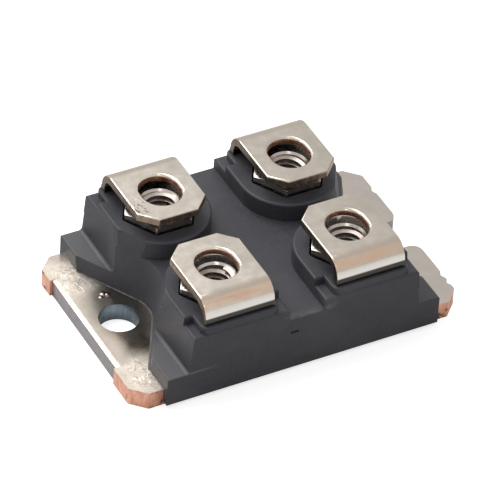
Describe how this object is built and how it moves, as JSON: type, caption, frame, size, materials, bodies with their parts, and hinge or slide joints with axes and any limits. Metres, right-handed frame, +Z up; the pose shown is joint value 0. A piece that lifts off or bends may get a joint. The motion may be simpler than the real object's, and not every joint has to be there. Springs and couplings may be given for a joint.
{
  "type": "rectifier diode module",
  "caption": "Screw-terminal rectifier diode module: black moulded block on a plated base plate, with folded strip terminals over captive nuts.",
  "frame": {"origin": "middle of the underside of the base plate", "axes": "+X along the plate towards its open slot, +Y across it, +Z up out of the plate along the terminal screws"},
  "size_m": [0.0382, 0.025, 0.0119],
  "materials": {
    "plated_plate": "satin",
    "plated_strip": "satin",
    "plated_nut": "satin",
    "moulding": "satin",
    "ceramic": "matte",
    "bonded_copper": "satin",
    "solder": "satin",
    "silicon": "gloss",
    "wire": "satin"
  },
  "bodies": {
    "root": {"anode_pad_left": "bonded_copper", "anode_pad_right": "bonded_copper", "base_plate": "plated_plate", "base_solder": "solder", "bond_wires_left": "wire", "bond_wires_right": "wire", "cathode_pad_left": "bonded_copper", "cathode_pad_right": "bonded_copper", "ceramic_tile": "ceramic", "chip_solder_left": "solder", "chip_solder_right": "solder", "diode_chip_left": "silicon", "diode_chip_right": "silicon", "moulded_body": "moulding", "nut_back_left": "plated_nut", "nut_back_right": "plated_nut", "nut_front_left": "plated_nut", "nut_front_right": "plated_nut", "terminal_back_left": "plated_strip", "terminal_back_right": "plated_strip", "terminal_front_left": "plated_strip", "terminal_front_right": "plated_strip", "terminal_solder_back_left": "solder", "terminal_solder_back_right": "solder", "terminal_solder_front_left": "solder", "terminal_solder_front_right": "solder", "tile_back_copper": "bonded_copper"}
  },
  "joints": []
}
